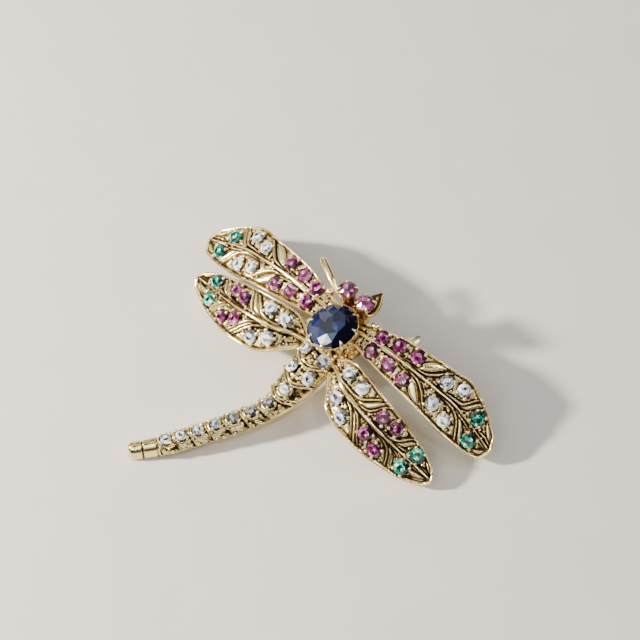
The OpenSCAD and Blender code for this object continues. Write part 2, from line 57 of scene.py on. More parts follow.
# Wing outlines: share of the length, front and rear edge from the line, and underside's height
FRONT_PLAN = np.array([
    (0, 12, 32, 100), (13, 22, 38, 97), (25, 32, 42, 91), (45, 43, 45, 72), (57, 49, 46, 56),
    (68, 56.5, 46, 38), (79, 49, 43, 21), (88, 36, 38, 9), (95, 22, 31, 2), (98.5, 12, 24, 0.5),
    (100, 3, 17, 0),
]) / 100
REAR_PLAN = np.array([
    (0, 50, -16, 100), (8, 57, 10, 96), (15, 57, 34, 89), (25, 53, 48, 79), (36, 49, 52, 71),
    (47, 46, 53, 59), (57, 45.5, 48, 42), (67, 45, 40, 23), (77, 43, 31, 8), (87, 38, 20, 1),
    (94, 31, 10, 0), (98.5, 22, 2, 0), (100, 14, -3, 0),
]) / 100
WING_ROOT_X = 2.6
WING_THICK = 0.75
WING_CROWN = 0.4
ROOT_SINK = (1.5, 0, 0.6)
EDGE_INSET = 0.5

# Stones of a wing: node's name, share of the length, share of the chord from the rear edge
FRONT_STONES = {
    "ruby": [
        ("root_front", 0.132, 0.735), ("root_rear", 0.127, 0.262), ("middle_front", 0.243, 0.755),
        ("middle_rear", 0.256, 0.252), ("outer_front", 0.366, 0.77), ("outer_rear", 0.375, 0.22),
    ],
    "diamond": [("", 0.579, 0.715), ("", 0.683, 0.783), ("", 0.584, 0.272), ("", 0.689, 0.2)],
    "emerald": [("front", 0.832, 0.69), ("rear", 0.866, 0.265)],
}
REAR_STONES = {
    "ruby": [
        ("inner_front", 0.515, 0.725), ("inner_rear", 0.487, 0.312),
        ("outer_front", 0.62, 0.775), ("outer_rear", 0.59, 0.2),
    ],
    "diamond": [("", 0.155, 0.745), ("", 0.287, 0.782), ("", 0.184, 0.285), ("", 0.293, 0.195)],
    "emerald": [("front", 0.822, 0.728), ("rear", 0.788, 0.258)],
}
STONE_D = {"ruby": 1.8, "diamond": 1.75, "emerald": 1.85}

# Ridges and leaves of a wing: width, then places in hundredths of the length and of the chord
FRONT_RIDGES = [
    (0.27, [17, 30, 37.5, 41], [56, 57, 60, 66]),
    (0.27, [33, 45, 50.8, 55, 60], [54.5, 58.5, 70, 84, 97]),
    (0.27, [17, 28, 35.5, 39.5], [44, 43, 40.5, 35]),
    (0.27, [32, 43, 49.2, 53.7, 58.5], [45.5, 41.5, 31, 17, 3]),
    (0.23, [56, 66, 71.5, 74.5, 76.5, 79], [54.5, 56, 60, 72, 85, 97]),
    (0.23, [58, 69, 74.2, 77.5, 80.5], [45.5, 43.5, 36, 22, 5]),
    (0.17, [71, 78, 82.5], [45.5, 43.5, 42]),
    (0.18, [88, 93, 98.5], [56, 62, 62]),
]
FRONT_LEAVES = [
    (1.05, [37, 43, 48.3, 54.5], [58, 69, 83, 97]),
    (1.1, [36, 42, 46.8, 53], [42, 30, 17, 3]),
    (0.55, [63, 72.2, 76.7, 79, 82.3], [55, 59, 71, 84, 96]),
    (0.6, [65, 73.5, 78.5, 81, 83.8], [45, 42.5, 31, 18, 6]),
    (0.55, [88.5, 93, 98.5], [90, 80, 66]),
    (0.36, [91.5, 95, 98.5], [42, 45, 50]),
    (0.42, [91.5, 94.5, 98.5], [17, 20, 36]),
]
REAR_RIDGES = [
    (0.28, [5, 15, 25, 32.5, 37.5, 42, 47], [54, 56, 58.5, 64, 75, 87, 98]),
    (0.22, [32, 40, 44.7, 48.3, 53], [54.5, 59, 71, 87, 98]),
    (0.28, [6, 20, 29, 34.5, 39, 44], [46, 47, 43, 33, 20, 3]),
    (0.22, [31, 37, 41.5, 45.7, 50.5], [45.5, 42, 32, 17, 4]),
    (0.24, [50, 61, 66.8, 70, 73, 77], [54.5, 56, 63, 75, 88, 97]),
    (0.17, [67, 73, 75.5], [54.5, 58, 63]),
    (0.24, [48, 59, 64.2, 67.5, 70], [45.5, 44.5, 38.5, 25, 6]),
    (0.17, [63, 69.5, 72.8], [46, 44, 39]),
    (0.18, [86, 92, 98.5], [53, 58, 60]),
    (0.18, [84.5, 91, 98.5], [42, 45, 50]),
]
REAR_LEAVES = [
    (0.85, [25, 35.5, 40.8, 45, 50], [55, 60, 72, 86, 98]),
    (0.85, [22, 31.5, 37.8, 42.3, 47], [45.5, 43, 33, 19, 4]),
    (0.6, [58, 67.5, 71.7, 74.8, 79], [55, 58, 70, 84, 96]),
    (0.6, [55, 64.5, 69, 71.5, 74.5], [45.5, 43, 31, 17, 5]),
    (0.6, [87.5, 93, 98.5], [93, 84, 70]),
    (0.46, [83, 90, 98.5], [30, 30, 42]),
    (0.4, [85, 90, 97], [10, 12, 28]),
]

# Head and thorax: shares of the length from the front, the width, the height and the belly's height
TRUNK = np.array([
    (0, 16, 93, 150), (6, 34, 102, 125), (16, 46, 105, 110), (30, 62, 103, 100), (46, 92, 100, 100),
    (64, 100, 100, 100), (82, 86, 97, 100), (100, 60, 88, 90),
]) / 100
THORAX_L = 8.4
THORAX_W = 7.6
THORAX_H = 7.7
BELLY_H = 4.6
THORAX_FRONT_Y = 6.0
# Abdomen's segments: shares of the length, width, back's height, underside's height and bend
SEGMENTS = np.array([
    (9.7, 100, 100, 50, 0), (10, 96, 84, 41, 0), (9.8, 79, 70, 32, 5), (8.8, 59, 64.5, 27, 36),
    (8.8, 56, 60, 23.5, 67), (8.3, 54, 56, 20, 72), (8.3, 52, 52, 16.5, 73), (8, 50.5, 48, 12.5, 75),
    (7.2, 49, 44.5, 8.5, 79), (6.8, 48, 41.5, 5, 90), (7, 46, 37, 1.5, 97), (7.3, 44, 33.5, 0, 100),
]) / 100
ABDOMEN_L = 27.2
ABDOMEN_W = 5.0
ABDOMEN_H = 6.4
ABDOMEN_BEND = 40
ABDOMEN_START_Y = -1.8
PAIRED_SEGMENTS = 2
STONE_SEGMENTS = 10
PAIR_SPREAD = 0.56
COLLAR_DIAMOND_D = 1.75
TAIL_DIAMOND_D = 1.4
# Painted shade: the facet colours of these tail diamonds are dimmed by the given share.
PAINTED_DIMMED_DIAMONDS = {5: 0.35, 6: 0.25, 7: 0.3, 8: 0.6}

# Grains of a segment: share of half the width to the side, and share along it from its middle
COLLAR_GRAINS = [(0.1, -0.24), (0.1, 0.02), (0.12, 0.3), (0.93, -0.15), (0.96, 0.12)]
SINGLE_GRAINS = [(0.66, -0.38), (0.86, -0.1), (0.84, 0.24), (0.6, 0.4), (0.985, 0.12), (0.98, -0.3)]

# Stones on the body
OVAL_L = 6.6
OVAL_W = 5.5
OVAL_TOP = 10.1
EYE_D = 2.2
EYE_TOP = 11.3
EYE_PITCH = 2.9
EYE_Y = 4.3
# Proportions of a cut stone, in shares of its width
TABLE = 0.56
CROWN = 0.176
GIRDLE = 0.05
PAVILION = 0.4
PROUD = 0.06
OVAL_GIRDLE = OVAL_TOP - OVAL_W * (CROWN + GIRDLE)
EYE_GIRDLE = EYE_TOP - EYE_D * (CROWN + GIRDLE)

# Antennae, from the middle between the eyes: across, ahead and up from the thorax's back, and radii
LEFT_ANTENNA = [(-0.9, -0.3, 0.3), (-3.1, -0.1, 0.9), (-4.5, 0.5, 1.3), (-5.9, 1.2, 1.3), (-7.2, 1.9, 1.1)]
RIGHT_ANTENNA = [(1.2, 0.1, 0.4), (2.1, 0.2, 0.6), (2.45, 0.95, 0.9), (2.35, 1.8, 1.3), (1.85, 2.8, 1.9)]
RIGHT_BLADE = [(1.7, 0.5, 1.0), (1.7, 1.5, 1.2), (1.55, 2.1, 1.4), (1.6, 2.7, 1.7)]
LEFT_ANTENNA_R = [0.36, 0.396, 0.504, 0.558, 0.54]
RIGHT_ANTENNA_R = [0.36, 0.324, 0.27, 0.216, 0.108]
RIGHT_BLADE_R = [0.5, 0.85, 0.85, 0.35]

# Pin: length between its posts, place, height and thickness of its stem, and its lug's outline
PIN_L = 15.2
PIN_Y = 4.0
PIN_H = 1.3
PIN_D = 0.8
POST_W = 1.6
LUG = [(6.7, 3.8), (8.1, 3.8), (8.2, 5.6), (8.25, 6.9), (7.75, 7.65), (7.05, 7.2), (6.6, 6.5), (6.6, 5.2)]
LUG_Z = (5.1, 6.0)

stone_low, stone_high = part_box("sapphire")
MIDDLE_Y = (stone_low.y + stone_high.y) / 2 / MM


def to_frame(points):
    return (np.asarray(points, float) + (0, MIDDLE_Y, 0)) * MM


def put_in_scene(name, data):
    thing = bpy.data.objects.new(name, data)
    bpy.context.scene.collection.objects.link(thing)
    return thing


# Finishes


class Wire:
    """A shader's socket. Sums on it add Math nodes to its finish."""

    def __init__(self, finish, socket):
        self.finish = finish
        self.socket = socket

    def math(self, operation, *values):
        return self.finish.node("Math", {"operation": operation}, dict(enumerate(values)))

    def __add__(self, other):
        return self.math("ADD", self, other)

    def __sub__(self, other):
        return self.math("SUBTRACT", self, other)

    def __rsub__(self, other):
        return self.math("SUBTRACT", other, self)

    def __mul__(self, other):
        return self.math("MULTIPLY", self, other)

    __radd__ = __add__
    __rmul__ = __mul__

    def held(self):
        """The value, kept between 0 and 1."""
        return self.math("MAXIMUM", self.math("MINIMUM", self, 1.0), 0.0)


class Finish:
    """A material in the making, around one shader."""

    def __init__(self, name, **constants):
        self.material = bpy.data.materials.new(name)
        self.material.use_nodes = True
        self.tree = self.material.node_tree
        self.shader = self.tree.nodes["Principled BSDF"]
        for socket, value in constants.items():
            self.feed(socket.replace("_", " "), value)

    def put(self, socket, value):
        if isinstance(value, Wire):
            self.tree.links.new(value.socket, socket)
        else:
            socket.default_value = value

    def feed(self, socket, value):
        self.put(self.shader.inputs[socket], value)

    def node(self, kind, settings, sockets, output=0):
        node = self.tree.nodes.new("ShaderNode" + kind)
        for name, value in settings.items():
            setattr(node, name, value)
        for socket, value in sockets.items():
            self.put(node.inputs[socket], value)
        return Wire(self, node.outputs[output])

    def attribute(self, name, output="Fac"):
        return self.node("Attribute", {"attribute_name": name}, {}, output)

    def noise(self, grain, detail=2.0):
        """Noise from 0 to 1 whose lumps are about grain millimetres wide."""
        here = self.node("TexCoord", {}, {}, "Object")
        place = self.node("VectorMath", {"operation": "SCALE"}, {"Vector": here, "Scale": 1 / MM})
        return self.node("TexNoise", {}, {"Vector": place, "Scale": 1 / grain, "Detail": detail})

    def mix(self, share, first, second):
        """A colour between two given as red, green and blue."""
        sockets = {0: share, 6: (*first, 1), 7: (*second, 1)}
        return self.node("Mix", {"data_type": "RGBA"}, sockets, 2)

    def bump(self, height, depth):
        """Feeds the shader a bumped normal, with the depth in millimetres."""
        sockets = {"Height": height, "Distance": depth * MM, "Strength": 1.0}
        self.feed("Normal", self.node("Bump", {}, sockets))


def gold_finish(name, light, shade_colour, rough, shine, grain_depth):
    """Cast gold. The mark "polish" is 1 where it is burnished, and the recess mark is 1 in its recesses,
    which take painted shade in the darker colour.
    """
    gold = Finish(name, Metallic=1.0)
    polish = gold.attribute("polish")
    hollow = gold.attribute("hollow")
    cloud = gold.noise(1.6)
    speck = gold.noise(0.14, 3.0)
    # Painted shade darkens the recesses towards the darker colour. The cloud and specks add random tone.
    shade_and_tone = hollow * 1.1 + (cloud - 0.5) * 0.5 + (0.5 - polish * 0.5) * (speck - 0.25) * 0.5
    gold.feed("Base Color", gold.mix(shade_and_tone.held(), light, shade_colour))
    gold.feed("Roughness", rough - polish * (rough - shine) + (speck - 0.5) * 0.12)
    gold.bump((1 - polish * 0.8) * (speck + gold.noise(0.4) * 0.8), grain_depth)
    return gold.material


def stone_finish(name, index, clear):
    """A cut stone. The mark "facet" holds each facet's colour: the stone's own tone with painted shade,
    reflections and glints.
    """
    stone = Finish(name, IOR=index, Roughness=0.03, Transmission_Weight=clear)
    stone.feed("Base Color", stone.attribute("facet", "Color"))
    return stone.material


# Golds: the tone on top and the darker tone of the painted shade in the recesses, roughness as cast and
# burnished, and the grain's depth
GOLD_LOOKS = {
    "wing": ((0.99, 0.82, 0.41), (0.04, 0.02, 0.006), 0.33, 0.15, 0.05),
    "granulated": ((0.88, 0.62, 0.22), (0.035, 0.014, 0.003), 0.33, 0.15, 0.1),
    "tail": ((0.96, 0.78, 0.36), (0.035, 0.017, 0.005), 0.3, 0.13, 0.05),
    # Eye cups: a dark brown copy of the gold, which paints shade round the eyes.
    "eye": ((0.42, 0.2, 0.07), (0.035, 0.012, 0.004), 0.35, 0.17, 0.1),
    "bead": ((0.98, 0.83, 0.47), (0.4, 0.26, 0.09), 0.22, 0.12, 0.02),
    # A near-black copy of the gold, painted shade on the right antenna's blade.
    "painted_shade": ((0.13, 0.08, 0.03), (0.02, 0.01, 0.004), 0.28, 0.16, 0.02),
    "pin": ((0.96, 0.8, 0.5), (0.5, 0.34, 0.15), 0.35, 0.2, 0.02),
}
GOLD = {name: gold_finish(name + "_gold", *look) for name, look in GOLD_LOOKS.items()}
# Stones: index of refraction, and how clear they are
STONE_LOOKS = {"ruby": (1.57, 0.0), "emerald": (1.58, 0.0), "diamond": (2.2, 0.08), "sapphire": (1.45, 0.0)}
STONE = {name: stone_finish(name, *look) for name, look in STONE_LOOKS.items()}
# Colours of the facets, from the darkest to the brightest, and each one's share: the stones' own tones with
# painted shade, reflections and glints
FACET_TONES_AND_PAINTED_LIGHT = {
    "ruby": [
        ((0.018, 0.002, 0.011), 0.28), ((0.065, 0.005, 0.036), 0.28), ((0.17, 0.022, 0.1), 0.24),
        ((0.33, 0.08, 0.22), 0.13), ((0.74, 0.42, 0.64), 0.04),
    ],
    "emerald": [
        ((0, 0.012, 0.009), 0.25), ((0, 0.055, 0.04), 0.28), ((0, 0.17, 0.12), 0.25),
        ((0.06, 0.5, 0.38), 0.15), ((0.5, 0.88, 0.8), 0.07),
    ],
    "diamond": [
        ((0.03, 0.035, 0.045), 0.2), ((0.14, 0.17, 0.21), 0.2), ((0.4, 0.46, 0.54), 0.2),
        ((0.8, 0.86, 0.93), 0.24), ((1, 1, 1), 0.16),
    ],
    "sapphire": [
        ((0.001, 0.002, 0.01), 0.4), ((0.002, 0.005, 0.026), 0.34), ((0.004, 0.011, 0.046), 0.2),
        ((0.014, 0.032, 0.1), 0.06),
    ],
}
# Painted reflections and a painted glint in the oval stone: direction, spread, reach from and to in shares,
# and colour
OVAL_PAINTED_REFLECTIONS = [
    (-137, 100, 0.0, 0.5, (0.012, 0.016, 0.028)),
    (175, 30, 0.35, 0.66, (0.04, 0.048, 0.075)),
    (-108, 26, 0.6, 0.95, (0.026, 0.032, 0.08)),
    (-22, 22, 0.3, 0.55, (0.02, 0.05, 0.1)),
    (-40, 10, 0.5, 0.75, (0.06, 0.1, 0.16)),
    (-67.5, 12, 0.6, 1.0, (0.4, 0.44, 0.5)),
]


# Meshes


def unit(vectors):
    vectors = np.asarray(vectors, float)
    return vectors / np.linalg.norm(vectors, axis=-1, keepdims=True)


def bell(distance, width, power=2):
    """1 at no distance, falling off to 0 past the width."""
    return np.exp(-((distance / width) ** power))


def along(table, at):
    """Value at a place along a table of places and values, straight between its rows."""
    return np.interp(at, *np.transpose(table))


def smooth(table, s, column):
    """Value at s of a column of a table, smooth through its rows."""
    table = np.asarray(table, float)
    places, values = table[:, 0], table[:, column]
    rows = np.arange(len(places))
    before, after = np.maximum(rows - 1, 0), np.minimum(rows + 1, rows[-1])
    slopes = (values[after] - values[before]) / (places[after] - places[before])
    k = np.clip(np.searchsorted(places, s, side="right") - 1, 0, rows[-1] - 1)
    h = places[k + 1] - places[k]
    u = (s - places[k]) / h
    rise = 3 * u**2 - 2 * u**3
    bends = (u**3 - 2 * u**2 + u) * slopes[k] + (u**3 - u**2) * slopes[k + 1]
    return (1 - rise) * values[k] + rise * values[k + 1] + h * bends


def curve_through(points, steps):
    """Points of a smooth curve through the given ones, with so many steps between each two."""
    points = np.asarray(points, float)
    last = len(points) - 1
    at = np.linspace(0, last, last * steps + 1)
    table = np.column_stack([np.arange(last + 1), points])
    return np.column_stack([smooth(table, at, 1 + axis) for axis in range(points.shape[1])])


def circle(count):
    return np.linspace(0, 2 * pi, count, endpoint=False)


def level(outline, z):
    """The points of an outline at height z."""
    return np.column_stack([outline, np.full(len(outline), z)])


def ring(length, width, z, count, turn=0.0):
    a = circle(count) + radians(turn)
    return level(np.column_stack([width / 2 * np.cos(a), length / 2 * np.sin(a)]), z)


def loft_faces(rings, sides):
    """Faces round a closed loft of rings, with a flat face at each end."""
    at = np.arange(rings * sides).reshape(rings, sides)
    beside = np.roll(at, -1, axis=1)
    quads = np.stack([at[:-1], beside[:-1], beside[1:], at[1:]], axis=-1).reshape(-1, 4)
    return quads.tolist() + at[[0, -1]].tolist()


def make_piece(name, points, faces, finish, nodes=("gold_body",), slot="gold", facets=None, **marks):
    """Adds a mesh. facets are its faces' colours, and marks are values at its points."""
    mesh = bpy.data.meshes.new(name)
    mesh.from_pydata(to_frame(points).tolist(), [], faces)
    for mark, values in marks.items():
        layer = mesh.attributes.new(mark, "FLOAT", "POINT")
        layer.data.foreach_set("value", np.ravel(values).astype(np.float32))
    shape = bmesh.new()
    shape.from_mesh(mesh)
    bmesh.ops.recalc_face_normals(shape, faces=shape.faces)
    shape.to_mesh(mesh)
    shape.free()
    if facets is None:
        mesh.shade_smooth()
    else:
        layer = mesh.attributes.new("facet", "FLOAT_COLOR", "CORNER")
        each = [(*facets[face.index], 1.0) for face in mesh.polygons for _ in face.loop_indices]
        layer.data.foreach_set("color", np.ravel(each))
    mesh.materials.append(finish)
    piece = put_in_scene(name, mesh)
    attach(piece, "root")
    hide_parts(*nodes)


def make_cast(name, rings, finish, polish, hollow):
    """A piece of cast gold, lofted through rings of points."""
    faces = loft_faces(*rings.shape[:2])
    make_piece(name, rings.reshape(-1, 3), faces, GOLD[finish], polish=polish, hollow=hollow)


LATTICE = np.random.default_rng(11).random((64, 64))


def lumps(x, y, grain):
    """Smooth random lumps from -1 to 1, about grain millimetres wide, over a plan."""
    at = np.array([x, y]) / grain
    past = at - np.floor(at)
    u, v = past * past * (3 - 2 * past)
    i, j = np.floor(at).astype(int) % len(LATTICE)
    k, m = (i + 1) % len(LATTICE), (j + 1) % len(LATTICE)
    low = LATTICE[i, j] * (1 - u) + LATTICE[k, j] * u
    high = LATTICE[i, m] * (1 - u) + LATTICE[k, m] * u
    return 2 * (low * (1 - v) + high * v) - 1


def grain(x, y):
    """The texture of cast gold between the stones, from -1 to 1."""
    return 0.55 * lumps(x, y, 0.34) + 0.3 * lumps(y + 7, x - 3, 0.19) + 0.15 * lumps(x + 5, y + 9, 0.11)


ball = bmesh.new()
bmesh.ops.create_icosphere(ball, subdivisions=2, radius=1)
BALL_POINTS = np.array([v.co for v in ball.verts], float)
BALL_FACES = [[v.index for v in f.verts] for f in ball.faces]
ball.free()


class Bodies:
    """Closed bodies collected into one mesh."""

    def __init__(self):
        self.points = []
        self.faces = []
        self.polish = []

    def add(self, points, faces, polish):
        first = sum(len(p) for p in self.points)
        self.points.append(points)
        self.faces += [[first + k for k in face] for face in faces]
        self.polish.append(np.full(len(points), polish))

    def loft(self, rings, polish):
        self.add(np.concatenate(rings), loft_faces(len(rings), len(rings[0])), polish)

    def rod(self, path, radii, sides=12, polish=0.8, flat=1.0):
        """A rod along a path, round or as much flatter as the share says, with its ends closed."""
        path = np.asarray(path, float)
        ahead = unit(np.gradient(path, axis=0))
        side = unit(np.cross(ahead[0], (0.3, 0.2, 0.9)))
        a = circle(sides)[:, None]
        rings = []
        for p, way, radius in zip(path, ahead, radii):
            side = unit(side - way * (side @ way))
            up = np.cross(way, side)
            rings.append(p + radius * (np.cos(a) * side + np.sin(a) * up * flat))
        self.loft(rings, polish)

    def round_rod(self, path, radii, steps=4, **options):
        """A smooth rod through a few points, with round ends."""
        path = curve_through(path, steps)
        radii = np.interp(np.linspace(0, len(radii) - 1, len(path)), np.arange(len(radii)), radii)
        turns = np.radians([[85], [60], [35]])
        first = path[0] + radii[0] * np.sin(turns) * unit(path[0] - path[1])
        last = path[-1] + radii[-1] * np.sin(turns[::-1]) * unit(path[-1] - path[-2])
        ends = np.cos(turns[:, 0])
        radii = np.concatenate([radii[0] * ends, radii, radii[-1] * ends[::-1]])
        self.rod(np.concatenate([first, path, last]), radii, **options)

    def ball(self, centre, radius, stretch=(1, 1, 1), polish=1.0):
        self.add(BALL_POINTS * radius * stretch + centre, BALL_FACES, polish)

    def grip(self, draw, place, axes, radius, lift, sway, sizes):
        """Four grains that hold a stone, round its place and raised by lift on three axes."""
        for k in range(4):
            a = pi * (k + 0.5) / 2 + draw.uniform(-sway, sway)
            size = draw.uniform(*sizes)
            self.ball(place + np.array([radius * cos(a), radius * sin(a), lift]) @ axes, size)

    def piece(self, name, finish, **options):
        points = np.concatenate(self.points)
        polish, hollow = np.concatenate(self.polish), np.zeros(len(points))
        make_piece(name, points, self.faces, GOLD[finish], polish=polish, hollow=hollow, **options)


# Stones


def cut_stone(length, width):
    """Points and facets of a stone with a table, star, kite, girdle and keel facets."""
    crown, girdle, depth = width * CROWN, width * GIRDLE, width * PAVILION
    # Rings of points: share of the size, height, count and turn
    rings = [
        (TABLE, girdle + crown, 8, 22.5), (0.83, girdle + crown * 0.48, 8, 0),
        (1, girdle, 16, 22.5), (1, 0, 16, 22.5), (0.5, -depth * 0.62, 8, 22.5), (0, -depth, 1, 0),
        (TABLE * 0.52, girdle + crown, 8, 0), (0, girdle + crown, 1, 0),
    ]
    points = np.concatenate([ring(length * share, width * share, *where) for share, *where in rings])
    table, star, top, low, keel, culet, inner, middle = 0, 8, 16, 32, 48, 56, 57, 65
    facets = []
    for i in range(8):
        j, k = (i + 1) % 8, (2 * i + 2) % 16
        a, b, c, d, e = table + i, table + j, inner + i, inner + j, star + j
        f, g, h = top + 2 * i, top + 2 * i + 1, top + k
        m, n, o, p, q = low + 2 * i, low + 2 * i + 1, low + k, keel + i, keel + j
        facets += [
            [a, b, d], [a, d, c], [c, d, middle], [a, b, e], [a, e, f], [e, g, f], [e, h, g], [e, b, h],
            [f, g, n, m], [g, h, o, n], [m, n, p], [n, o, q], [n, q, p], [p, q, culet],
        ]
    return points, facets


def facet_colours(kind, points, facets, seed):
    """A colour for each facet, with painted light: painted shade gathers on one side, and the table takes a
    painted mirror image of the rim.
    """
    draw = np.random.default_rng(seed)
    centres = np.array([points[facet].mean(axis=0) for facet in facets])[:, :2] / points[:, :2].max(axis=0)
    angle, reach = np.arctan2(centres[:, 1], centres[:, 0]), np.hypot(*centres.T)
    lean = draw.uniform(0, 2 * pi)
    # Painted shade and light: facets darken towards one side of the stone, and the table mirrors it.
    ranks = np.cos(angle - lean) * np.where(reach < 0.5, 1, -0.8) + draw.uniform(-0.75, 0.75, len(facets))
    share = (np.argsort(np.argsort(ranks)) + 0.5) / len(facets)
    colours, parts = zip(*FACET_TONES_AND_PAINTED_LIGHT[kind])
    bounds = np.cumsum(parts)
    chosen = np.searchsorted(bounds / bounds[-1], share ** draw.uniform(0.65, 1.35))
    shades = np.array(colours)[chosen] * draw.uniform(0.85, 1.15, (len(facets), 1))
    if kind == "sapphire":
        # Painted reflections and a painted glint on the oval stone's facets.
        for direction, spread, near, far, shade in OVAL_PAINTED_REFLECTIONS:
            turn = np.degrees(angle) - direction
            lit = (np.abs((turn + 180) % 360 - 180) < spread) & (reach > near) & (reach < far)
            shades[lit] = np.array(shade) * draw.uniform(0.9, 1.1, (lit.sum(), 1))
    return np.clip(shades, 0, 1)


def axes_on(normal):
    """Axes across, back and up over a face."""
    side = unit(np.cross((0, 1, 0), normal))
    return np.array([side, np.cross(normal, side), normal])


def set_stones(node, kind, seats, seed, painted_dimming=None):
    """One piece for a node's stones. A seat is a place, a normal, a length and a width, and some stones can
    be dimmed with painted shade.
    """
    points, facets, colours = [], [], []
    for k, (place, normal, length, width) in enumerate(seats):
        corners, cuts = cut_stone(length, width)
        points.extend(place + corners @ axes_on(normal))
        facets += [[k * len(corners) + n for n in cut] for cut in cuts]
        # Painted shade dims the facets of the stones listed in the dimming table.
        colours.extend(facet_colours(kind, corners, cuts, seed + k) * (painted_dimming or {}).get(k, 1))
    make_piece("cut_" + node, points, facets, STONE[kind], [node], kind, colours)


# Wings

# Raised lines: how far past them their groove lies, its depth and width, their top, flatness and shine
LEAF = (0.07, 0.16, 0.12, 0.16, 3, 0.95)
RIDGE = (0.09, 0.2, 0.13, 0.24, 2, 1)
MIDRIB = (0.1, 0.2, 0.12, 0.24, 2, 1)
RIM = (0.12, 0.16, 0.11, 0.17, 2, 1)
MIDRIB_W = 0.48
RIM_W = 0.34
RIM_INSET = 0.15
LINE_FOOT = -0.12
GROUND = -0.15
STONE_BED = -0.22
EDGE_ROUND = 0.16
UNDER_CROWN = 0.12
WING_BEADS = 1100


class Relief:
    """Relief over a plan: its height in mm, how polished each place is, and how much painted shade its
    recesses get.
    """

    def __init__(self, plan, fan):
        """fan is 1 between the ridges of a fan, where the ground is smooth and darkened with painted shade.
        """
        wander = grain(plan[..., 0], plan[..., 1])
        rough = 1 - fan
        self.height = GROUND + 0.11 * wander * rough
        # Painted shade on the low grain and on the smooth ground between a fan's ridges.
        self.hollow = np.clip(0.4 - 1.5 * wander, 0, 1) * rough + 0.85 * fan
        self.polish = np.clip(wander, 0, 0.6) * rough
        self.raised = fan > 0.4

    def groove(self, distance, depth, width):
        dark = bell(distance, width)
        self.height = self.height - depth * dark
        # Painted shade darkens the groove.
        self.hollow = np.maximum(self.hollow, dark)
        self.polish = self.polish * (1 - dark)

    def line(self, distance, half, past, depth, width, top, flatness, shine):
        """A raised line, round or, with more flatness, level on top, and the groove past it."""
        self.groove(distance - half - past, depth, width)
        inside = np.abs(distance / half)
        shape = np.sqrt(np.clip(1 - inside**flatness, 0, 1))
        height = (top - LINE_FOOT) * shape + LINE_FOOT
        here = (inside < 1) & (height > self.height)
        self.height = np.where(here, height, self.height)
        self.polish = np.where(here, shine * np.clip(shape * 1.4, 0, 1), self.polish)
        # Painted shade at the foot of the raised line.
        self.hollow = np.where(here, np.clip(1 - shape * 2, 0, 1), self.hollow)
        self.raised |= here


def distance_to_path(plan, path):
    """Distance of each place on a plan to a path, and how far along it the nearest point is."""
    best = np.full(plan.shape[:-1], np.inf)
    share = np.zeros(plan.shape[:-1])
    for k, (start, run) in enumerate(zip(path, np.diff(path, axis=0))):
        u = np.clip(((plan - start) @ run) / (run @ run), 0, 1)
        gap = np.linalg.norm(plan - start - u[..., None] * run, axis=-1)
        share = np.where(gap < best, (k + u) / (len(path) - 1), share)
        best = np.minimum(gap, best)
    return best, share


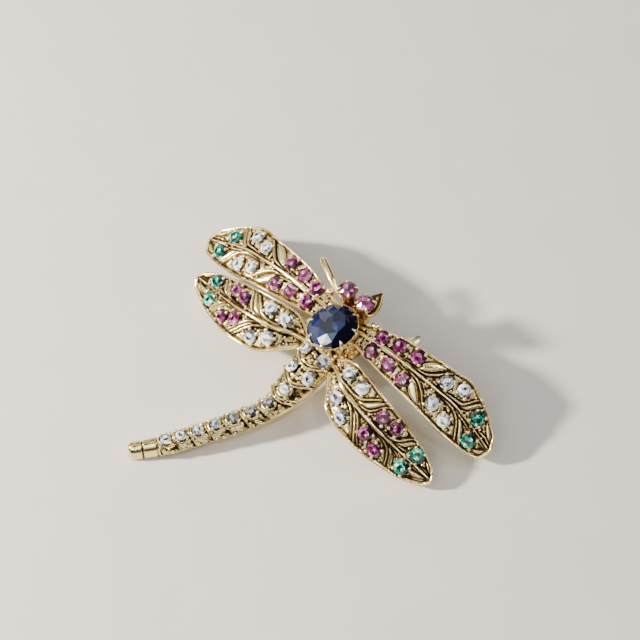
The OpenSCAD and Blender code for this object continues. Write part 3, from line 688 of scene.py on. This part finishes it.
class Wing:
    """One of the four wings. Its shares are of the length from the root, and of the chord from the rear."""

    ROWS = 330
    ACROSS = 104
    BELOW = 22
    TIP_FROM = 0.955

    def __init__(self, name, side, sizes, plan, stones, ridges, leaves):
        self.name, self.side = f"{name}_{side}", side
        self.plan, self.stones, self.ridges, self.leaves = plan, stones, ridges, leaves
        self.span, self.width, self.line, self.root_h, self.tip_h, tilt, turn = sizes
        self.tilt, self.turn = radians(tilt), radians(turn)
        self.length = self.span / 2 - WING_ROOT_X

    def chord(self, s):
        """The front edge and the rear edge."""
        front, rear = smooth(self.plan, s, 1), smooth(self.plan, s, 2)
        return self.line + self.width * front, self.line - self.width * rear

    def underside(self, s, v):
        front, rear = self.chord(s)
        across = v * (front - rear)
        up = self.tip_h + (self.root_h - self.tip_h) * smooth(self.plan, s, 3) + tan(self.tilt) * across
        return np.stack(np.broadcast_arrays(WING_ROOT_X + s * self.length, rear + across, up), axis=-1)

    def face(self, s, v):
        points = self.underside(s, v)
        points[..., 2] += WING_THICK + WING_CROWN * (1 - (2 * v - 1) ** 2)
        return points

    def normal(self, s, v):
        d = 0.02
        outward = self.face(s + d, v) - self.face(s - d, v)
        return unit(np.cross(outward, self.face(s, v + d) - self.face(s, v - d)))

    def beside(self, points):
        """Moves what belongs to a right wing to this wing's own side."""
        a = self.turn
        turn = [[cos(a), sin(a), 0], [-sin(a), cos(a), 0], [0, 0, 1]]
        return points * (-1 if self.side == "left" else 1, 1, 1) @ turn

    def seat(self, s, v):
        """Place and normal of a stone's girdle, on a right wing."""
        normal = self.normal(s, v)
        return self.face(s, v) + normal * PROUD, normal

    def grid(self, across):
        """Shares of the points over the wing, which close in round the tip."""
        past = np.clip((self.rows - self.TIP_FROM) / (1 - self.TIP_FROM), 0, 0.9995)
        v = 0.5 + (across - 0.5) * np.sqrt(1 - past**2)[:, None]
        return np.broadcast_to(self.rows[:, None], v.shape), v

    def to_line(self, plan, width, *places):
        """Distance of each place to a line's middle, and half of the line's width there."""
        path = self.face(*curve_through(np.transpose(places) / 100, 6).T)[:, :2]
        distance, share = distance_to_path(plan, path)
        return distance, width / 2 * (0.3 + 0.7 * np.sin(np.pi * np.clip(share, 0.03, 0.95)))

    def relief(self, s, plan):
        """The cast relief over the face: leaves, ridges, midrib, rim and the stones' beds."""
        edge = np.concatenate([plan[:, 0], plan[:, -1], plan[-1]])
        parts = np.array_split(plan.reshape(-1, 2), 12)
        to_edge = [np.hypot(*(part[:, None] - edge).T).min(axis=0) for part in parts]
        to_edge = np.concatenate(to_edge).reshape(s.shape)
        lines = [(*self.to_line(plan, *line), *LEAF) for line in self.leaves]
        lines += [(*self.to_line(plan, *line), *RIDGE) for line in self.ridges]
        gap = np.min([distance - half for distance, half, *_ in lines], axis=0)
        cast = Relief(plan, np.clip(1 - gap / 0.3, 0, 1))
        for line in lines:
            cast.line(*line)
        from_rib = np.abs(plan[..., 1] - self.face(s, 0.5)[..., 1])
        cast.line(from_rib, MIDRIB_W / 2 * np.clip(1.25 - s, 0.4, 1), *MIDRIB)
        cast.line(to_edge - RIM_INSET, RIM_W / 2, *RIM)
        for kind, places in self.stones.items():
            radius = STONE_D[kind] / 2
            for _, *at in places:
                x, y = np.moveaxis(plan - self.face(*at)[:2], -1, 0)
                gap = np.hypot(x, y / cos(self.tilt))
                # A groove round each stone, darkened with painted shade.
                cast.groove(gap - radius - 0.04, 0.08, 0.09)
                cast.height = np.where(gap < radius + 0.02, STONE_BED, cast.height)
        # No groove cuts through the thin edge, whose top is round
        cast.height = np.maximum(cast.height, -0.05 - 0.45 * to_edge)
        inside = np.clip(EDGE_ROUND - to_edge, 0, EDGE_ROUND)
        cast.height -= (EDGE_ROUND - np.sqrt(EDGE_ROUND**2 - inside**2)) * (s > 0.01)
        return cast

    def build(self):
        self.rows = 1 - (1 - np.linspace(0, 1, self.ROWS)) ** 1.15
        even = np.linspace(0, 1, self.ACROSS)
        self.across = 0.75 * even + 0.25 * (1 - np.cos(pi * even)) / 2
        s, v = self.grid(self.across)
        top = self.face(s, v)
        cast = self.relief(s, top[..., :2])
        self.raised = cast.raised
        top += self.normal(np.clip(s, 0.02, 0.98), v) * cast.height[..., None]
        below = np.linspace(0, 1, self.BELOW)
        s, v = self.grid(below)
        under = self.underside(s, v)
        under[..., 2] += UNDER_CROWN * (1 - (2 * below - 1) ** 2) ** 0.5
        # The underside draws in from the edges, so that they look thin
        middle = under.mean(axis=1, keepdims=True)[..., 1]
        half = np.maximum(np.ptp(under[..., 1], axis=1, keepdims=True) / 2, 0.1)
        under[..., 1] = middle + (under[..., 1] - middle) * np.clip(1 - EDGE_INSET / half, 0.3, 1)
        under[..., 0] -= EDGE_INSET * np.clip((s - 0.85) / 0.15, 0, 1) ** 2
        rings = np.concatenate([top, under[:, ::-1]], axis=1)
        rings = np.concatenate([rings[:1] - ROOT_SINK, rings])
        marks = [np.pad(mark, ((1, 0), (0, self.BELOW))) for mark in (cast.polish, cast.hollow)]
        make_cast(self.name, self.beside(rings), "wing", *marks)
        self.set_beads()
        self.set_stones()

    def set_beads(self):
        """The grains that hold each stone, and those scattered between."""
        beads = Bodies()
        taken = []
        draw = np.random.default_rng(len(self.name) * 7 + int(self.span))
        for kind, places in self.stones.items():
            radius = STONE_D[kind] / 2
            for _, *at in places:
                place, normal = self.seat(*at)
                taken.append((place, radius))
                axes = self.beside(axes_on(normal))
                beads.grip(draw, self.beside(place), axes, radius + 0.1, 0.1, radians(12), (0.21, 0.29))
        for _ in range(WING_BEADS):
            s, v = draw.uniform(0.03, 0.95), draw.uniform(0.1, 0.9)
            size = draw.uniform(0.1, 0.18)
            place, normal = self.seat(s, v)
            gap = min(np.linalg.norm(place - p) - r - size for p, r in taken)
            at = np.searchsorted(self.rows, s), np.searchsorted(self.across, v)
            if gap >= 0.03 and not self.raised[at]:
                taken.append((place, size))
                beads.ball(self.beside(place - normal * 0.13), size)
        beads.piece(self.name + "_grains", "bead")

    def set_stones(self):
        wing = self.name.removesuffix("_" + self.side)
        seed = (len(self.name) * 3 + int(self.width * 10)) * 31
        for kind in ("ruby", "emerald", "diamond"):
            size = STONE_D[kind]
            seats = [(*map(self.beside, self.seat(*at)), size, size) for _, *at in self.stones[kind]]
            if kind == "diamond":
                set_stones(f"{wing}_diamonds_{self.side}", kind, seats, seed)
            else:
                for k, ((name, *_), seat) in enumerate(zip(self.stones[kind], seats)):
                    set_stones(f"{wing}_{kind}_{name}_{self.side}", kind, [seat], seed + k * 5 * 31)


# Body

# Rings and points round each, and tries at placing a granule
TRUNK_GRID = (110, 120)
ABDOMEN_GRID = (620, 96)
THORAX_BEADS = 900
# How far the rings bulge at the top, by segment
BULGE = [(0, 0.7), (2.2, 0.7), (3.2, 0.5), (4.2, 0.3), (9.6, 0.3), (10.2, 0)]
# How wide a segment is from end to end, and how the last one closes
SWELL = [(0, 0.95), (0.05, 0.86), (0.5, 0.95), (0.9, 1.04), (0.96, 1.04), (1, 0.97)]
CLOSING = [(0, 1), (0.05, 0.9), (0.1, 0.9), (0.16, 1), (0.6, 0.99), (0.8, 0.93), (0.92, 0.8), (1, 0.55)]
# Grooves of the plain end: place, width and strength
END_GROOVES = [(11.07, 0.035, 1), (10.14, 0.05, 0.8)]


def angles_from_below(count):
    return np.radians(-90 + 360 * (np.arange(count) + 0.5) / count)


def section(width, low, top, angles):
    """Outline of the body where it is cut: flat below, round above."""
    waist = low + (top - low) * 0.4
    c, s = np.cos(angles), np.sin(angles)
    up = np.where(s > 0, (top - waist) * s, -(waist - low) * 1.03 * np.abs(s) ** 0.4)
    out = np.where(s > 0, c, np.sign(c) * np.abs(c) ** 0.4)
    return width / 2 * out, np.maximum(waist + up, low)


def trunk_ring(share, angles):
    """Points round the head and thorax, at a share of their length."""
    width, top, low = (smooth(TRUNK, share, column) for column in (1, 2, 3))
    x, z = section(THORAX_W * width, BELLY_H * low, THORAX_H * top, angles)
    return np.column_stack([x, np.full(len(angles), THORAX_FRONT_Y - THORAX_L * share), z])


def grid_normals(rings):
    """Outward normals of rings of points round a body."""
    around = np.roll(rings, -1, axis=1) - np.roll(rings, 1, axis=1)
    normal = np.cross(around, np.gradient(rings, axis=0))
    normal = normal / np.maximum(np.linalg.norm(normal, axis=-1, keepdims=True), 1e-9)
    outward = rings - rings.mean(axis=1, keepdims=True)
    return normal * np.sign(np.sum(normal * outward))


def trunk():
    rows, sides = TRUNK_GRID
    angles = angles_from_below(sides)
    rings = np.array([trunk_ring(share, angles) for share in np.linspace(0, 1, rows)])
    x, y, z = np.moveaxis(rings, -1, 0)
    wander = grain(x * 0.8 + z * 0.7, y - z * 0.4)
    height = 0.1 * wander * (z > BELLY_H + 0.6)
    points = rings + grid_normals(rings) * height[..., None]
    # Painted shade in the low spots of the grain.
    polish, hollow = np.clip(wander, 0, 1) * 0.7, np.clip(0.55 - wander * 1.8, 0, 1)
    make_cast("thorax", points, "granulated", polish, hollow)


def thorax_grains():
    """Granules and worked lumps over the thorax, round the oval stone's cup."""
    beads = Bodies()
    draw = np.random.default_rng(21)
    taken = []
    for _ in range(THORAX_BEADS):
        share, angle = draw.uniform(0.04, 0.97), draw.uniform(0.12, pi - 0.12)
        place = trunk_ring(share, np.array([angle]))[0]
        size = draw.uniform(0.16, 0.34)
        under_cup = hypot(place[0] / OVAL_W, place[1] / OVAL_L) < 0.36
        if under_cup or any(np.linalg.norm(place - p) < (r + size) * 0.93 for p, r in taken):
            continue
        taken.append((place, size))
        stretch = draw.uniform(0.7, 1.25, 3)
        beads.ball(place - (0, 0, size * 0.25), size, stretch, draw.uniform(0.2, 0.9))
    beads.piece("thorax_grains", "granulated")


# The tail's segments: their headings, the ways across them, their runs and starts
BENDS = [radians(-90 - ABDOMEN_BEND * row[4]) for row in SEGMENTS]
HEADINGS = [np.array([cos(a), sin(a), 0]) for a in BENDS]
SIDEWAYS = [np.array([-sin(a), cos(a), 0]) for a in BENDS]
RUNS = [heading * ABDOMEN_L * row[0] for heading, row in zip(HEADINGS, SEGMENTS)]
STARTS = np.cumsum([[0, ABDOMEN_START_Y, 0], *RUNS], axis=0)


def tail_back(i, u):
    here, after = SEGMENTS[i][2], SEGMENTS[min(i + 1, len(SEGMENTS) - 1)][2]
    return ABDOMEN_H * (here + (after - here) * (u - 0.5) * 0.8)


def tail_place(i, u, off, reach=1.0):
    """A place on segment i, at share u of it, and off to one side by a share of half the width."""
    half = ABDOMEN_W * SEGMENTS[i][1] / 2 * reach
    shoulder = (tail_back(i, 0.5) - ABDOMEN_H * SEGMENTS[i][3]) * 0.6
    up = tail_back(i, u) - shoulder * (1 - sqrt(max(1 - off**2, 0)))
    return STARTS[i] + RUNS[i] * u + SIDEWAYS[i] * half * off + (0, 0, up)


def tail_seats():
    """Place, normal and size of each stone, and its segment."""
    found = []
    for i in range(STONE_SEGMENTS):
        paired = i < PAIRED_SEGMENTS
        slope = (tail_back(i, 1) - tail_back(i, 0)) / np.linalg.norm(RUNS[i])
        sunk = unit(HEADINGS[i] + (0, 0, slope)) * slope * 0.9
        for off in (-PAIR_SPREAD, PAIR_SPREAD) if paired else (0,):
            lean = radians(50 * off)
            outward = SIDEWAYS[i] * sin(lean) + (0, 0, cos(lean)) - sunk
            size = COLLAR_DIAMOND_D if paired else TAIL_DIAMOND_D
            found.append((tail_place(i, 0.5, off), unit(outward), size, i))
    return found


def tail():
    rows, sides = ABDOMEN_GRID
    count = len(SEGMENTS)
    t = np.linspace(0, count, rows)
    line = curve_through(STARTS, 40)
    steps = np.linspace(0, count, len(line))
    path = np.column_stack([np.interp(t, steps, line[:, k]) for k in range(3)])
    ahead = unit(np.gradient(path, axis=0))
    across = np.column_stack([-ahead[:, 1], ahead[:, 0], np.zeros(rows)])
    angles = angles_from_below(sides)
    # Each place's own segment and share of it, as the rings bulge at the top
    e = t[:, None] - along(BULGE, t)[:, None] * (np.clip(np.sin(angles), 0, 1) ** 2 - 0.5)
    u = np.where(e >= count, 1, e - np.floor(e))
    wide = 1 + (along(SWELL, u) - 1) * np.clip(np.sin(angles) * 2.5, 0, 1)
    end = along(CLOSING, t - (count - 1))[:, None]
    wide = np.where(t[:, None] > count - 2, 0.97, wide) * end
    width, top, low = (np.interp(t - 0.5, np.arange(count), SEGMENTS[:, k])[:, None] for k in (1, 2, 3))
    x, z = section(ABDOMEN_W * width * wide, ABDOMEN_H * low, ABDOMEN_H * top, angles[None, :])
    rings = path[:, None, :] + across[:, None, :] * x[..., None]
    rings[..., 2] = np.maximum(z - (1 - end) * 1.3 * (np.sin(angles) > 0), 0)
    carve_tail(rings, t[:, None], u, np.sin(angles))


def carve_tail(rings, t, u, rise):
    """Casts the collars, the grained ground and the stones' beds into the rings, with painted shade in the
    seams, grooves, low grain and round the stones.
    """
    upper = np.clip((rise - along([(3, 0.1), (4.2, -0.3)], t)) * 3, 0, 1)
    worked = t <= STONE_SEGMENTS
    collars = (t < 3.4) * upper
    seam = bell(np.minimum(u, 1 - u), 0.055) * upper * worked
    rim = bell(u - 0.895, 0.065, 4) * (0.2 + 0.8 * upper) * np.where(t < 3.4, 1, 0.6) * worked
    second = bell(u - 0.735, 0.06, 4) * collars
    between = bell(u - 0.813, 0.02) * collars
    wander = grain(rings[..., 0] * 0.9, rings[..., 1] * 0.9 + rings[..., 2] * 0.5)
    grained = upper * worked * (1 - np.clip(rim + second, 0, 1))
    height = -0.3 * seam + rim * 0.24 + second * 0.17 - 0.12 * between + (0.09 * wander - 0.06) * grained
    # Painted shade in the low grain, the seams and between the collar's rims.
    hollow = np.clip(grained * (0.6 - 1.7 * wander) + seam + between, 0, 1)
    polish = np.clip(1 - upper * 0.9 + rim + second, 0, 1)
    polish = np.where(worked, polish, 0.9) * (1 - seam)
    for place, facing, size, _ in tail_seats():
        away = rings - place
        gap = np.linalg.norm(away - (away @ facing)[..., None] * facing, axis=-1) - size / 2
        near = np.abs(away @ facing) < 1.2
        lip = bell(gap - 0.2, 0.11) * near * (size < COLLAR_DIAMOND_D)
        shade_ring = bell(gap - 0.04, 0.07) * near
        height = np.where((gap < 0.02) & near, -0.25, height + lip * 0.14)
        polish = np.maximum(polish, lip * 0.8) * (1 - shade_ring)
        # A thin ring of painted shade round each stone.
        hollow = np.maximum(hollow * (1 - lip), shade_ring)
    groove = sum(bell(t - at, width) * strength for at, width, strength in END_GROOVES)
    height = height - 0.1 * groove
    # Painted shade in the end's grooves.
    hollow = np.maximum(hollow, groove)
    points = rings + grid_normals(rings) * height[..., None]
    points[..., 2] = np.maximum(points[..., 2], 0)
    make_cast("abdomen", points, "tail", polish, hollow)


def tail_grains():
    beads = Bodies()
    draw = np.random.default_rng(5)
    for place, normal, size, i in tail_seats():
        axes = [HEADINGS[i], unit(np.cross(HEADINGS[i], normal)), normal]
        beads.grip(draw, place, axes, size / 2 + 0.1, 0.08, 0.15, (0.2, 0.27))
    for i in range(STONE_SEGMENTS):
        for off, ahead in COLLAR_GRAINS if i < PAIRED_SEGMENTS else SINGLE_GRAINS:
            for side in (-1, 1):
                place = tail_place(i, 0.5 + ahead, side * off + draw.uniform(-0.03, 0.03), 0.94)
                size = draw.uniform(0.22, 0.31)
                beads.ball(place - (0, 0, size * 0.7), size, polish=0.8)
    beads.piece("abdomen_grains", "bead")


def tail_stones():
    seats = [(place, normal, size, size) for place, normal, size, _ in tail_seats()]
    set_stones("abdomen_diamonds", "diamond", seats, 900, PAINTED_DIMMED_DIAMONDS)


UP = np.array([0, 0, 1.0])
# Claws: share of the stone's radius, reach past it and height over its girdle, and the claw's radii
OVAL_CLAW = [(0.8, 0, -1.5), (1, 0.12, -0.6), (1, 0.16, 0.1), (1, -0.08, 0.44), (1, -0.34, 0.56)]
OVAL_CLAW_R = [0.28, 0.28, 0.26, 0.2, 0.12]
EYE_CLAW = [(0.92, 0, -0.9), (1, 0.08, -0.2), (1, 0.04, 0.16), (1, -0.2, 0.34)]
EYE_CLAW_R = [0.2, 0.2, 0.19, 0.13]
# Cups: share of the stone's width and height over its girdle, from the foot up and then down inside
OVAL_CUP = [
    (0.66, -2.157), (0.7, -1.257), (0.73, -1.007), (0.84, -0.607), (0.97, -0.22), (1.0, -0.1),
    (1.0, 0.06), (0.985, 0.1), (0.955, 0.08), (0.94, -0.05), (0.72, -0.7), (0.4, -1.1),
]
CUP_WALL = 0.2
# An eye's cup leans out from its foot, by the share that comes first
EYE_CUP = [
    (0, 0.62, -3.7028), (0, 0.66, -2.7028), (0, 0.72, -1.9028), (0.5, 0.8, -1.4028), (1, 1.02, -0.3),
    (1, 1.08, -0.12), (1, 1.08, -0.02), (1, 1.03, 0), (1, 0.98, -0.1), (1, 0.5, -0.6),
]


def claws(name, at, length, width, count, steps, radii, **options):
    """Claws round the girdle of a stone whose middle is at a place."""
    wires = Bodies()
    for a in circle(count) + pi / count:
        way = np.array([width / 2 * cos(a), length / 2 * sin(a), 0])
        path = [at + way * share + unit(way) * past + UP * up for share, past, up in steps]
        wires.round_rod(path, radii, polish=0.95, **options)
    wires.piece(name, "bead")


def oval_setting():
    """The oval stone's flared and tooled cup, its eight claws and the stone."""
    turn = circle(128)
    tooled = 0.022 * np.cos(23 * turn + 1.5 * np.sin(5 * turn)) + 0.012 * np.cos(41 * turn)
    outline = ring(OVAL_L + 2 * CUP_WALL, OVAL_W + 2 * CUP_WALL, 0, 128)[:, :2]
    place = UP * OVAL_GIRDLE
    rings = []
    for share, z in OVAL_CUP:
        scallop = 1 + tooled * np.clip((-0.25 - z) * 3, 0, 1)
        rings.append(level(outline * share * scallop[:, None], z) + place)
    cup = Bodies()
    cup.loft(rings, 0.5)
    cup.piece("oval_cup", "granulated")
    claws("oval_claws", place, OVAL_L, OVAL_W, 8, OVAL_CLAW, OVAL_CLAW_R)
    set_stones("sapphire", "sapphire", [(place, UP, OVAL_L, OVAL_W)], 93)


def eye_setting(side):
    """An eye's cup, its four claws and its stone, on the left for side = -1."""
    place = np.array([side * EYE_PITCH / 2, EYE_Y, EYE_GIRDLE])
    foot = np.array([-side * EYE_PITCH / 2 * 0.28, 0, 0])
    cup = Bodies()
    cup.loft([ring(EYE_D * w, EYE_D * w, z, 48) + place + foot * (1 - out) for out, w, z in EYE_CUP], 0.7)
    name = {-1: "left", 1: "right"}[side]
    # The eye cups take the dark copy of the gold, painted shade.
    cup.piece(f"eye_cup_{name}", "eye")
    claws(f"eye_claws_{name}", place, EYE_D, EYE_D, 4, EYE_CLAW, EYE_CLAW_R, sides=10)
    set_stones(f"eye_ruby_{name}", "ruby", [(place, UP, EYE_D, EYE_D)], (60 + side) * 31)


def antennae():
    rise = np.array([0, EYE_Y, THORAX_H])
    wires = Bodies()
    wires.round_rod(LEFT_ANTENNA + rise, LEFT_ANTENNA_R, steps=8, polish=0.8)
    wires.round_rod(RIGHT_ANTENNA + rise, RIGHT_ANTENNA_R, steps=8, polish=0.9)
    wires.piece("antennae", "tail")
    blade = Bodies()
    blade.round_rod(RIGHT_BLADE + rise, RIGHT_BLADE_R, steps=8, flat=0.3)
    # The blade is painted near-black as shade.
    blade.piece("antenna_blade", "painted_shade")


def shoulder_beads(wings):
    beads = Bodies()
    for wing in wings:
        beads.ball(wing.beside(wing.face(0.055, 1.0)), 0.6, (1.15, 0.85, 0.95))
    beads.piece("shoulder_beads", "bead")


# Pin: feet of its hinge post and catch post, and how wide a post is from foot to head
POST_FEET = [(-1, 1.3), (1, 2.1)]
POST_SHARES = [0.6, 0.72, 0.78, 0.9, 1.1]
# Knuckles of the hinge: middle and width
KNUCKLES = [(-0.66, 0.56), (0, 0.62), (0.66, 0.56)]
KNUCKLE_R = 1.22
RIVET_R = 0.42
HOOK_R = 0.82
HOOK_D = 0.68


def pin_fittings(wing):
    """Hinge post with its knuckles, stem, catch post, hook and lug, below the front wing."""
    metal = Bodies()
    s = (PIN_L / 2 - WING_ROOT_X) / wing.length
    front, rear = wing.chord(s)
    head = wing.underside(s, (PIN_Y - rear) / (front - rear))[2] + 0.25
    square = np.column_stack([np.cos(circle(48)), np.sin(circle(48))])
    square = square / np.abs(square).max(axis=1, keepdims=True) ** 0.75 * (POST_W / 2, POST_W / 2 * 0.85)
    for side, foot in POST_FEET:
        heights = (foot, foot + 0.1, head - 1.6, head - 0.5, head)
        middle = (side * PIN_L / 2, PIN_Y)
        metal.loft([level(square * share + middle, z) for z, share in zip(heights, POST_SHARES)], 0.8)
    hinge = np.array([-PIN_L / 2, PIN_Y, PIN_H])
    for middle, width in KNUCKLES:
        ends = np.array([-0.5, -0.42, 0.42, 0.5]) * width + middle
        radii = [KNUCKLE_R - 0.17, KNUCKLE_R, KNUCKLE_R, KNUCKLE_R - 0.17]
        metal.rod([hinge + (0, y, 0) for y in ends], radii, sides=40, polish=0.9)
    ends, radii = (-1.12, -1.05, 1.05, 1.12), [RIVET_R - 0.12, RIVET_R, RIVET_R, RIVET_R - 0.12]
    metal.rod([hinge + (0, y, 0) for y in ends], radii, sides=20)
    stem = np.array([(-PIN_L / 2 + 0.9, 0, 0), (0, 0, 0.12), (PIN_L / 2, 0, 0.05), (PIN_L / 2 + 1.2, 0, 0)])
    metal.round_rod(stem + (0, PIN_Y, PIN_H), [PIN_D / 2, PIN_D / 2, PIN_D / 2 * 0.85, 0.06], steps=10)
    turn = np.radians(np.linspace(-50, 215, 24))
    path = [[PIN_L / 2, PIN_Y + HOOK_R * cos(a), PIN_H + HOOK_R * sin(a)] for a in turn]
    radii = np.interp(np.arange(24), [0, 2, 21, 23], [0.2, HOOK_D / 2, HOOK_D / 2, 0.2])
    metal.rod(path, radii, sides=14, polish=0.9)
    outline = np.array(LUG)
    inner = outline.mean(axis=0) + (outline - outline.mean(axis=0)) * 0.93
    layers = [(inner, LUG_Z[0]), (outline, LUG_Z[0] + 0.1), (outline, LUG_Z[1] - 0.1), (inner, LUG_Z[1])]
    metal.loft([level(edge, z) for edge, z in layers], 0.2)
    metal.piece("pin_fittings", "pin", nodes=["brooch_pin"])


# Surroundings

FLOOR_HALF = 400
# Lamps: azimuth and elevation in degrees, distance and size in mm, power in watts and tint
LAMPS = {
    "sun_side": (-46, 28, 320, 30, 3.6, (1, 0.93, 0.82)),
    "window": (150, 42, 340, 120, 0.4, (0.86, 0.92, 1)),
    "overhead": (105, 72, 360, 60, 0.2, (1, 0.97, 0.93)),
    "panel_left": (-72, 44, 360, 260, 0.22, (1, 0.97, 0.9)),
    "panel_front": (-4, 54, 360, 230, 0.4, (1, 0.97, 0.9)),
    "panel_right": (40, 50, 360, 200, 0.13, (1, 0.98, 0.94)),
    "panel_behind": (-138, 60, 380, 220, 0.14, (1, 0.98, 0.95)),
    "panel_low": (-130, 24, 400, 260, 0.22, (1, 0.98, 0.95)),
    "sparkle": (7, 48.5, 320, 24, 0.06, (1, 1, 1)),
}
# The photograph's viewpoint: what it looks at, azimuth and elevation, distance and field of view
CAMERA_TARGET = (-5.22, 13.12, 0)
CAMERA_ANGLES = (42.68, 60.03)
CAMERA_DISTANCE = 200
FIELD_OF_VIEW = 23.17


def floor():
    corners = np.array([(-1, -1, 0), (1, -1, 0), (1, 1, 0), (-1, 1, 0)]) * FLOOR_HALF
    mesh = bpy.data.meshes.new("floor")
    mesh.from_pydata(to_frame(corners).tolist(), [], [[0, 1, 2, 3]])
    pale = Finish("pale_floor", Roughness=0.7)
    pale.feed("Base Color", pale.mix(pale.noise(9.0, 4.0), (0.6, 0.57, 0.53), (0.66, 0.63, 0.59)))
    mesh.materials.append(pale.material)
    sheet = put_in_scene("floor", mesh)


def stand(name, data, target, azimuth, elevation, distance):
    """Puts a lamp or a camera round its target, and aims it there."""
    a, e = radians(azimuth), radians(elevation)
    place = Vector(target + distance * np.array([sin(a) * cos(e), -cos(a) * cos(e), sin(e)]))
    thing = put_in_scene(name, data)
    thing.location = place * MM
    thing.rotation_euler = (Vector(target) - place).to_track_quat("-Z", "Y").to_euler()
    return thing


def lights():
    world = bpy.data.worlds.new("room")
    bpy.context.scene.world = world
    world.use_nodes = True
    sockets = world.node_tree.nodes["Background"].inputs
    sockets["Color"].default_value = (1, 0.97, 0.92, 1)
    sockets["Strength"].default_value = 0.09
    for name, (azimuth, elevation, distance, size, watts, tint) in LAMPS.items():
        light = bpy.data.lights.new(name, "AREA")
        light.shape = "DISK"
        light.size = size * MM
        light.energy = watts
        light.color = tint
        stand(name, light, (0, MIDDLE_Y, 3), azimuth, elevation, distance)


def camera():
    eye = bpy.data.cameras.new("camera")
    eye.sensor_width = 36
    eye.angle = radians(FIELD_OF_VIEW)
    bpy.context.scene.camera = stand("camera", eye, CAMERA_TARGET, *CAMERA_ANGLES, CAMERA_DISTANCE)


wings = [
    Wing(name, side, *forms)
    for side in ("left", "right")
    for name, *forms in (
        ("front_wing", FRONT, FRONT_PLAN, FRONT_STONES, FRONT_RIDGES, FRONT_LEAVES),
        ("rear_wing", REAR, REAR_PLAN, REAR_STONES, REAR_RIDGES, REAR_LEAVES),
    )
]
for wing in wings:
    wing.build()
shoulder_beads(wings[::2])
trunk()
thorax_grains()
tail()
tail_grains()
tail_stones()
oval_setting()
eye_setting(-1)
eye_setting(1)
antennae()
pin_fittings(wings[2])
floor()
lights()
camera()
